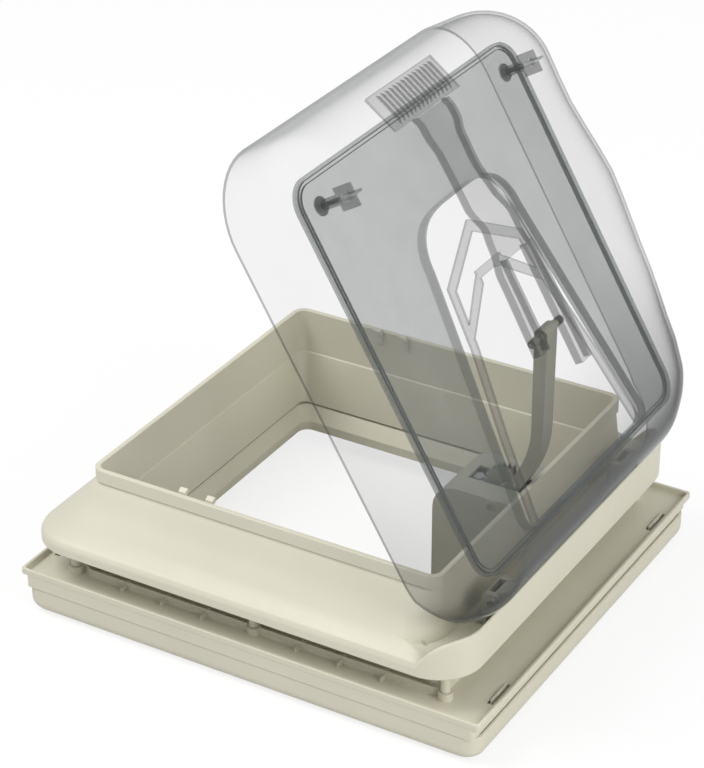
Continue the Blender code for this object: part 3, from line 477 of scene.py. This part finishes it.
def roof_frame():
    """Roof flange, sloping sides, hinge wall with its gutter, collar and spigot."""
    neck = COLLAR_TOP - NECK_HEIGHT
    inner = -COLLAR_WALL
    loops = [
        collar_ring(-0.6, -0.6, -0.6, COLLAR_TOP, 13.0),
        collar_ring(0.0, 0.0, 0.0, COLLAR_TOP - 0.6, 13.0),
        collar_ring(0.0, 0.0, 0.0, neck, 13.0),
        collar_ring(-1.7, -1.7, -1.7, neck - 0.4, 12.0),
        collar_ring(-2.0, -2.0, -2.0, neck - 1.0, 12.0),
        collar_ring(-0.6, -0.9, -1.9, neck - 2.6, 12.6),
        collar_ring(6.0, 3.4, -1.0, 129.5, 17.0, 128.0),
        collar_ring(14.0, 7.6, 0.0, 120.0, 22.0, 118.0),
        collar_ring(22.0, 13.4, 1.2, 111.5, 27.0, 104.0),
        collar_ring(34.0, 22.6, 4.0, 100.0, 34.0, GUTTER_FLOOR + 1.5),
        flange_ring(7.0, 88.0, GUTTER_FLOOR),
        flange_ring(WALL_THICKNESS + 0.7, 85.2, GUTTER_FLOOR + 1.0),
        flange_ring(WALL_THICKNESS, 84.6, WALL_TOP - 0.8),
        flange_ring(WALL_THICKNESS - 0.7, 83.9, WALL_TOP),
        flange_ring(0.9, 81.6, WALL_TOP - 0.3),
        flange_ring(0.2, 80.2, WALL_TOP - 1.2),
        flange_ring(0.0, FLANGE_EDGE, WALL_TOP - 2.5),
        flange_ring(0.0, FLANGE_BOTTOM + 0.6),
        flange_ring(0.6, FLANGE_BOTTOM),
        flange_ring(20.0, FLANGE_BOTTOM),
        flange_ring(20.0, 84.0),
        collar_ring(10.0, 5.0, -2.2, 112.0, 20.0, 84.3),
        collar_ring(-0.5, -1.8, -2.8, 126.0, 13.0, 82.5),
        collar_ring(-1.2, -2.2, -3.6, SPIGOT_BOTTOM, 13.0),
        collar_ring(inner - 1.2, inner - 1.5, inner - 1.5, SPIGOT_BOTTOM, 9.0),
        collar_ring(inner - 1.2, inner - 1.5, inner - 1.5, 103.6, 9.0),
        collar_ring(inner - 0.9, inner - 1.2, inner - 1.2, 104.6, 9.0),
        collar_ring(inner, inner, inner, 105.6, 9.0),
        collar_ring(inner, inner, inner, COLLAR_TOP - 0.6, 9.0),
        collar_ring(inner + 0.6, inner + 0.6, inner + 0.6, COLLAR_TOP, 9.0),
    ]
    parts = [skin("roof_frame", loops, True)]
    for side in (-1.0, 1.0):
        for x, top in zip(POST_X, POST_TOPS):
            parts.append(post(x, side * RIB_Y, top))
    show("roof_frame", joined("roof_frame", parts), CREAM, "frames",
         ["outer_frame"], BASE, 0.0)


def post(x, y, top):
    """Screw post under the flange: a tapered column on a small foot, bored below."""
    low = RIB_TOP + GAP
    profile = ((2.5, low + 20.0), (2.5, low + 0.3), (2.8, low), (POST_RADIUS - 0.4, low),
               (POST_RADIUS, low + 0.5), (POST_RADIUS - 0.3, 66.0), (POST_RADIUS, top), (1.0, top))
    loops = [[(x + a, y + b, z) for a, b in circle(radius, 32)] for radius, z in profile]
    return skin("post", loops, True)


def ceiling_tray():
    """Inside tray: raised lip, floor, telescoping rib and the light shaft's lower part."""
    rib = RIB_Y - SHAFT_HALF_Y
    loops = [
        ceiling_ring(0.0, 0.0, LIP_TOP - 0.5, 3.4),
        ceiling_ring(0.5, 0.5, LIP_TOP),
        ceiling_ring(LIP_WIDTH - 0.5, LIP_WIDTH - 0.5, LIP_TOP),
        ceiling_ring(LIP_WIDTH, LIP_WIDTH, LIP_TOP - 0.5),
        ceiling_ring(LIP_WIDTH + 0.4, LIP_WIDTH + 0.4, FLOOR_TOP + 0.5),
        ceiling_ring(LIP_WIDTH + 1.0, LIP_WIDTH + 1.0, FLOOR_TOP),
        shaft_ring(rib + 1.3, FLOOR_TOP),
        shaft_ring(rib + 0.8, FLOOR_TOP + 0.6),
        shaft_ring(rib + 0.8, RIB_TOP - 0.3),
        shaft_ring(rib + 0.5, RIB_TOP),
        shaft_ring(rib - 0.5, RIB_TOP),
        shaft_ring(rib - 0.8, RIB_TOP - 0.3),
        shaft_ring(rib - 1.0, FLOOR_TOP),
        shaft_ring(13.2, FLOOR_TOP),
        shaft_ring(13.0, 40.5),
        shaft_ring(12.5, 41.0),
        shaft_ring(9.9, 41.0),
        shaft_ring(9.4, 40.6),
        shaft_ring(0.0, 27.5),
        shaft_ring(0.0, SHAFT_EDGE),
        shaft_ring(SHAFT_WALL, SHAFT_EDGE),
        shaft_ring(9.0, FLOOR_BOTTOM),
        ceiling_ring(SKIRT_INSET + 3.0, 3.4, FLOOR_BOTTOM),
        ceiling_ring(SKIRT_INSET + 3.0, 3.4, SKIRT_BOTTOM),
        ceiling_ring(SKIRT_INSET, 0.4, SKIRT_BOTTOM),
        ceiling_ring(SKIRT_INSET, 0.4, 34.6),
        ceiling_ring(0.4, 0.2, 34.9),
        ceiling_ring(0.0, 0.0, 35.6),
    ]
    cuts = [box("slot", (x - 3.0, y - 17.5, 28.0), (x + 3.0, y + 17.5, FLOOR_TOP + 2.0))
            for x, y in slot_places()]
    cuts += [prism("hole", circle(2.7, 24, x, side * RIB_Y), 28.0, RIB_TOP + 2.0, "Z")
             for side in (-1.0, 1.0) for x in POST_X]
    mesh = carved(skin("ceiling_tray", loops, True), cuts, tray_details())
    show("ceiling_tray", mesh, CREAM, "frames", ["ceiling_frame"], BASE, 0.25)


def tray_details():
    """Bosses under the clamp screws and the fins along the rib."""
    made = []
    for side in (-1.0, 1.0):
        for x in POST_X:
            made.append(prism("boss", circle(7.0, 32, x, side * RIB_Y), FLOOR_TOP - 1.0, RIB_TOP, "Z"))
        for offset in FIN_OFFSETS:
            for way in (-1.0, 1.0):
                x = FIN_CENTRE_X + way * offset
                rows = [(side * (RIB_Y - 5.0), RIB_TOP - 1.5), (side * (RIB_Y + 9.0), RIB_TOP - 3.0)]
                rows.sort()
                outline = [(rows[0][0], FLOOR_TOP - 1.0), (rows[1][0], FLOOR_TOP - 1.0), rows[1], rows[0]]
                made.append(prism("fin", outline, x - 0.8, x + 0.8, "X"))
    return made


def ceiling_trim():
    """Bull-nosed cover that clips under the ceiling frame through its slots."""
    loops = []
    turns = 12
    wall = 3.0
    edge = SHAFT_EDGE - GAP
    for k in range(turns + 1):
        angle = 0.5 * math.pi * k / turns
        inset = TRIM_RADIUS * (1.0 - math.cos(angle))
        loops.append(trim_ring(inset, TRIM_RADIUS * (1.0 - math.sin(angle)) - TRIM_DROP, 16.0))
    loops.append(shaft_ring(2.2, edge - wall - 6.0))
    loops.append(shaft_ring(0.8, edge - wall))
    loops.append(shaft_ring(0.8, edge))
    inner = TRIM_RADIUS - wall
    for k in range(turns, -1, -1):
        angle = 0.5 * math.pi * k / turns
        inset = wall + inner * (1.0 - math.cos(angle))
        loops.append(trim_ring(inset, TRIM_RADIUS - TRIM_DROP - inner * math.sin(angle), 14.0))
    loops.append(trim_ring(wall, TRIM_TOP - 0.4, 14.0))
    loops.append(trim_ring(wall - 0.4, TRIM_TOP, 14.4))
    loops.append(trim_ring(0.4, TRIM_TOP, 15.6))
    loops.append(trim_ring(0.0, TRIM_TOP - 0.4, 16.0))
    parts = [skin("ceiling_trim", loops, True)]
    for x, y in slot_places():
        way = math.copysign(1.0, x)
        parts.append(box("tab", (x - 0.9, y - 15.0, -3.6), (x + 0.9, y + 15.0, 37.4)))
        barb = [(x + way * 0.7, 37.9), (x - way * 0.7, 37.9), (x - way * 0.8, 36.6), (x + way * 1.5, 36.3)]
        parts.append(prism("barb", barb, y - 6.0, y + 6.0))
    show("ceiling_trim", joined("ceiling_trim", parts), CREAM, "frames",
         ["trim_cover"], BASE, 0.0)


# --- dome and inner panel -----------------------------------------------------
def dome_crown(u):
    """Height of the dome's ridge above the hinge axis, eased between its stations."""
    first = CROWN_STATIONS[0]
    if u <= first[0]:
        return first[1]
    for before, after in zip(CROWN_STATIONS, CROWN_STATIONS[1:]):
        if u <= after[0]:
            share = (u - before[0]) / (after[0] - before[0])
            eased = 0.5 * share + 0.5 * share * share * (3.0 - 2.0 * share)
            return before[1] + (after[1] - before[1]) * eased
    return CROWN_STATIONS[-1][1]


def edge_distance(u, y, skin_depth):
    """How far a plan point lies inside the dome's rounded outline."""
    low = DOME_HINGE_EDGE + skin_depth
    high = DOME_FREE_EDGE - skin_depth
    radius = DOME_CORNER - skin_depth
    across = max(abs(u - 0.5 * (low + high)) - 0.5 * (high - low) + radius, 0.0)
    aside = max(abs(y) - (DOME_HALF_Y - skin_depth) + radius, 0.0)
    inside = min(max(abs(u - 0.5 * (low + high)) - 0.5 * (high - low),
                     abs(y) - (DOME_HALF_Y - skin_depth)), 0.0)
    if across or aside:
        return radius - math.hypot(across, aside)
    return -inside


def dome_surface(u, y, skin_depth):
    depth = edge_distance(u, y, skin_depth)
    round_off = DOME_ROUND - skin_depth
    lean = max(0.0, 1.0 - depth / round_off)
    drop = round_off * (1.0 - math.sqrt(max(0.0, 1.0 - lean * lean)))
    return dome_crown(u) - skin_depth - drop


def rim_height(angle):
    """The rim climbs over the hinge wall round its two corners."""
    away = min(1.0, abs(angle) / 75.0) if abs(angle) <= 90.0 else 1.0
    return RIM_LOW + RIM_RISE * (1.0 - away * away)


def dome_loops(skin_depth, steps, insets, shares):
    """Loops from the rim to the crown; local x is minus u."""
    outline = rounded_ring(-DOME_FREE_EDGE + skin_depth, -DOME_HINGE_EDGE - skin_depth,
                           DOME_HALF_Y - skin_depth, DOME_CORNER - skin_depth, steps, FINE)
    loops = [[(x, y, rim_height(angle)) for x, y, angle in outline]]
    for inset in insets:
        ring = rounded_ring(-DOME_FREE_EDGE + skin_depth + inset,
                            -DOME_HINGE_EDGE - skin_depth - inset,
                            DOME_HALF_Y - skin_depth - inset,
                            DOME_CORNER - skin_depth - inset, steps, FINE)
        loops.append([(x, y, dome_surface(-x, y, skin_depth)) for x, y, _ in ring])
    base = [(x, y) for x, y, _ in loops[-1]]
    middle = -0.5 * (DOME_FREE_EDGE + DOME_HINGE_EDGE)
    for share in shares:
        ring = [(middle + (x - middle) * share, y * share) for x, y in base]
        loops.append([(x, y, dome_surface(-x, y, skin_depth)) for x, y in ring])
    return loops


def panel_ring(inset, height, radius):
    return flat_ring(-PANEL_FAR + inset, -PANEL_NEAR - inset, PANEL_HALF_Y - inset,
                     radius - inset, height)


def arch_half_width(u):
    """Half width of the arm's opening in the inner panel; it widens to the hinge."""
    return 73.0 + 45.0 * (317.5 - u) / 265.0


def dome_glazing():
    """Outer dome: a blown shell with a turned-down rim."""
    insets = (0.0, 0.4, 1.2, 2.6, 4.6, 7.2, 10.4, 14.4, 19.2, 25.0, 31.6, 39.0, 48.0)
    shares = tuple(1.0 - 0.06 * k for k in range(1, 16)) + (0.05,)
    outer = dome_loops(0.0, FINE, insets, shares)
    inner = dome_loops(DOME_WALL, FINE, insets, shares)
    mesh = skin("dome_glazing", list(reversed(outer)) + inner, False, 60.0)
    made = show("dome_glazing", mesh, DOME_LOOK, "dome", ["dome_shell"], DOME, 0.0)
    made.data.materials.append(RIM_LOOK)
    count = len(outer[0])
    first = (len(outer) - 1) * count
    for k in range(first, first + count):
        made.data.polygons[k].material_index = 1


def arch_outline(grow):
    """The opening's outline: straight flaring sides and a rounded end."""
    low = 43.0 - grow
    corner_u = 286.0
    reach = 331.0 + grow
    points = []
    for k in range(5):
        turn = math.radians(22.5 * k)
        radius = 14.0
        u = low + radius - radius * math.cos(turn)
        y = arch_half_width(low) + grow - radius + radius * math.sin(turn)
        points.append((u, y))
    width = arch_half_width(corner_u) + grow + 3.0
    points.append((corner_u, width))
    for k in range(1, 15):
        angle = 0.5 * math.pi * k / 14.0
        points.append((corner_u + (reach - corner_u) * math.sin(angle),
                       width * max(0.0, math.cos(angle)) ** 0.5 if k < 14 else 0.0))
    mirrored = [(u, -y) for u, y in reversed(points[:-1])]
    return [(-u, y) for u, y in points + mirrored]


def inner_glazing():
    """Inner glazing: flat tray with a turned-down edge and a flanged arm opening."""
    bottom = PANEL_TOP - PANEL_THICK
    outer = [panel_ring(0.0, PANEL_SKIRT, 26.0)]
    for k in range(5):
        angle = math.radians(22.5 * k)
        outer.append(panel_ring(2.5 - 2.5 * math.cos(angle),
                                PANEL_TOP - 2.5 + 2.5 * math.sin(angle), 26.0))
    inner = [panel_ring(PANEL_THICK + 1.0, bottom, 26.0),
             panel_ring(PANEL_THICK, bottom - 1.0, 26.0),
             panel_ring(PANEL_THICK, PANEL_SKIRT, 26.0)]
    mesh = skin("inner_glazing", list(reversed(outer)) + list(reversed(inner)), False)
    flange = prism("flange", arch_outline(2.0), bottom + 0.5, PANEL_TOP + 8.5, "Z")
    cuts = [prism("opening", arch_outline(0.0), bottom - 4.0, PANEL_TOP + 17.0, "Z")]
    cuts += [prism("screw_hole", circle(2.6, 24, -391.5, side * 168.0), bottom - 2.0,
                   PANEL_TOP + 2.0, "Z") for side in (-1.0, 1.0)]
    mesh = carved(mesh, cuts, [flange])
    show("inner_glazing", mesh, PANEL_LOOK, "dome", ["inner_panel"], DOME, 0.3)


def seal_lips():
    """Two thin lips of the bulb seal behind the panel's turned-down edge."""
    bottom = PANEL_TOP - PANEL_THICK - 1.3
    low = bottom - 2.2
    outer = PANEL_THICK + GAP
    lips = []
    for near, far in ((outer, outer + 0.5), (outer + 3.4, outer + 3.9)):
        loops = [panel_ring(near, bottom, 26.0), panel_ring(far, bottom, 26.0),
                 panel_ring(far, low, 26.0), panel_ring(near, low, 26.0)]
        lips.append(skin("lip", loops, True))
    show("seal_lips", joined("seal_lips", lips), RUBBER, "dome", ["panel_seal"], DOME, 0.0)


# --- rail and gearbox ---------------------------------------------------------
def housing_profile(inset, bottom):
    """Side view of the housing, with its rounded upper front corner."""
    radius = 26.0 - inset
    front = HOUSING_FRONT + inset
    top = HOUSING_TOP - inset
    back = HOUSING_BACK - inset
    points = [(back - 5.0, bottom), (back - 2.2, 43.0), (back - 2.2, 103.0), (back, 106.5), (back, top)]
    for k in range(7):
        angle = math.radians(90.0 + 15.0 * k)
        points.append((front + radius + radius * math.cos(angle),
                       top - radius + radius * math.sin(angle)))
    points.append((front, bottom))
    return points


def rail_edges(u):
    """Sideways reach of the rail at this distance from the hinge axis: (left, right)."""
    left = ((138.0, -37.0), (250.0, -34.0), (276.0, -27.0), (300.0, -23.5), (372.0, -23.0),
            (392.0, -27.0), (411.0, -28.0))
    right = ((138.0, 37.0), (250.0, 33.0), (279.0, 28.0), (309.0, 27.5), (350.0, 20.0),
             (377.0, 22.0), (392.0, 27.5), (411.0, 27.0))
    return eased(left, u), eased(right, u)


def eased(stations, u):
    if u <= stations[0][0]:
        return stations[0][1]
    for before, after in zip(stations, stations[1:]):
        if u <= after[0]:
            share = (u - before[0]) / (after[0] - before[0])
            return before[1] + (after[1] - before[1]) * share * share * (3.0 - 2.0 * share)
    return stations[-1][1]


def rail_top(u):
    stations = ((138.0, 82.4), (292.0, 83.2), (318.0, 75.6), (402.0, 73.0), (411.0, 70.0))
    return eased(stations, u)


def rail_strip(first, last, left, right, wall):
    """Channel between two edge curves: a web on top and a wall down each side."""
    count = 40
    depth = 9.0
    rows = []
    for k in range(count + 1):
        u = first + (last - first) * k / count
        top = rail_top(u)
        low_y = left(u)
        high_y = right(u)
        rows.append([(-u, low_y, top - depth), (-u, low_y, top), (-u, high_y, top),
                     (-u, high_y, top - depth), (-u, high_y - wall, top - depth),
                     (-u, high_y - wall, top - wall), (-u, low_y + wall, top - wall),
                     (-u, low_y + wall, top - depth)])
    return skin("rail", rows, False)


def rail_channel():
    """Guide rail: one waisted channel that forks into the two roller tracks."""
    parts = [rail_strip(262.0, 411.0, lambda u: rail_edges(u)[0], lambda u: rail_edges(u)[1], 1.8),
             rail_strip(172.0, 262.5, lambda u: rail_edges(u)[0], lambda u: -17.5, 1.6),
             rail_strip(140.0, 262.5, lambda u: 18.5, lambda u: rail_edges(u)[1], 1.6)]
    show("rail_channel", joined("rail_channel", parts), SMOKE_LOOK, "dome",
         ["guide_rail"], DOME, 0.3)


def gearbox_shell():
    """Housing on the hinge-side inner wall, open below, with the arm's slot on top."""
    half = HOUSING_HALF_Y
    mesh = prism("gearbox_shell", housing_profile(0.0, HOUSING_BOTTOM), -half, half)
    pivot = circle(SHAFT_RADIUS + 0.3, 32, ARM_PIVOT_X, ARM_PIVOT_Z)
    boss = circle(8.5, 32, ARM_PIVOT_X, ARM_PIVOT_Z)
    cuts = [prism("hollow", housing_profile(3.0, HOUSING_BOTTOM - 5.0), -half + 3.0, half - 3.0),
            box("arm_slot", (121.0, -12.5, 118.0), (HOUSING_BACK + 4.0, 12.5, HOUSING_TOP + 8.0)),
            prism("pivot_hole", pivot, -half - 3.0, half + 3.0)]
    adds = [prism("boss", boss, -half - 0.8, -half + 2.0), prism("boss", boss, half - 2.0, half + 0.8)]
    for y in (-24.0, 24.0):
        adds.append(box("rib", (HOUSING_FRONT - 0.9, y - 1.2, 48.0), (HOUSING_FRONT + 2.0, y + 1.2, 116.0)))
    show("gearbox_shell", carved(mesh, cuts, adds), HOUSING_LOOK, "frames",
         ["gearbox_housing"], BASE, 0.5)


# --- carried-over CAD nodes ---------------------------------------------------
def dress_cad():
    """Every CAD node still shown gets softened edges and a finish of its own."""
    looks = ((("hinge_pin", "clamp_screw", "panel_screw", "cover_screw", "arm_shaft", "worm_shaft",
               "worm_bush", "knob_stub", "sector_pin", "roller_pin"), STEEL, 0.25),
             (("rim_hook",), CREAM, 0.3),
             (("spacer_post", "lift_frame", "finger_grip"), SMOKE_LOOK, 0.3),
             (("",), NYLON, 0.4))
    for name, item in nodes.items():
        if name in REPLACED:
            continue
        for starts, look, width in looks:
            if name.startswith(starts):
                item.data.materials.clear()
                item.data.materials.append(look)
                soften(item, width)
                break


REPLACED = ("outer_frame", "ceiling_frame", "trim_cover", "dome_shell", "inner_panel", "panel_seal",
            "guide_rail", "gearbox_housing")


# --- studio -------------------------------------------------------------------
SKY_LIGHT = 0.60              # the surroundings' strength as a light


def area_light(name, place, aim, size, power, colour=(1.0, 1.0, 1.0)):
    data = bpy.data.lights.new(name, "AREA")
    data.shape = "SQUARE"
    data.size = size
    data.energy = power
    data.color = colour
    made = bpy.data.objects.new(name, data)
    bpy.context.scene.collection.objects.link(made)
    made.location = place
    made.rotation_euler = (Vector(aim) - Vector(place)).to_track_quat("-Z", "Y").to_euler()


def studio():
    """Pale floor, white surroundings, one broad key light and a weak fill."""
    world = bpy.data.worlds.new("studio_world")
    world.use_nodes = True
    tree = world.node_tree
    sky = tree.nodes["Background"]
    sky.inputs["Color"].default_value = (1.0, 1.0, 1.0, 1.0)
    seen = tree.nodes.new("ShaderNodeLightPath").outputs["Is Camera Ray"]
    tree.links.new(mapped(tree, seen, SKY_LIGHT, 1.0, 0.0, 1.0), sky.inputs["Strength"])
    bpy.context.scene.world = world
    bpy.context.scene.view_settings.view_transform = "Standard"
    bpy.context.scene.cycles.transparent_max_bounces = 48

    half = 14.0
    mesh = bpy.data.meshes.new("floor")
    mesh.from_pydata([(-half, -half, 0.0), (half, -half, 0.0), (half, half, 0.0), (-half, half, 0.0)],
                     [], [(0, 1, 2, 3)])
    floor = bpy.data.objects.new("floor", mesh)
    bpy.context.scene.collection.objects.link(floor)
    floor.location = (0.0, 0.0, -0.0004)
    pale = bpy.data.materials.new("pale_floor")
    pale.use_nodes = True
    main = pale.node_tree.nodes["Principled BSDF"]
    main.inputs["Roughness"].default_value = 0.9
    main.inputs["Emission Color"].default_value = (1.0, 1.0, 1.0, 1.0)
    tree = pale.node_tree
    seen = tree.nodes.new("ShaderNodeLightPath").outputs["Is Camera Ray"]
    tree.links.new(ramp(tree, seen, (0.66, 0.66, 0.66), (0.16, 0.16, 0.16), 0.0, 1.0),
                   main.inputs["Base Color"])
    tree.links.new(mapped(tree, seen, 0.0, 0.8, 0.0, 1.0), main.inputs["Emission Strength"])
    mesh.materials.append(pale)

    target = (0.0, 0.0, 0.15)
    area_light("key", (-1.35, -1.15, 2.9), target, 1.6, 58.0)
    area_light("fill", (2.7, -0.8, 1.5), target, 1.6, 46.0)
    area_light("back", (0.6, 2.6, 2.2), target, 2.0, 8.0)


def camera():
    data = bpy.data.cameras.new("camera")
    data.lens = 124.336
    data.sensor_width = 36.0
    data.clip_start = 0.05
    data.clip_end = 60.0
    made = bpy.data.objects.new("camera", data)
    bpy.context.scene.collection.objects.link(made)
    made.location = (1.1019, -1.90546, 1.46167)
    made.rotation_euler = (math.radians(60.44), 0.0, math.radians(30.48))
    bpy.context.scene.camera = made


roof_frame()
ceiling_tray()
ceiling_trim()
dome_glazing()
inner_glazing()
seal_lips()
rail_channel()
gearbox_shell()
dress_cad()
studio()
camera()
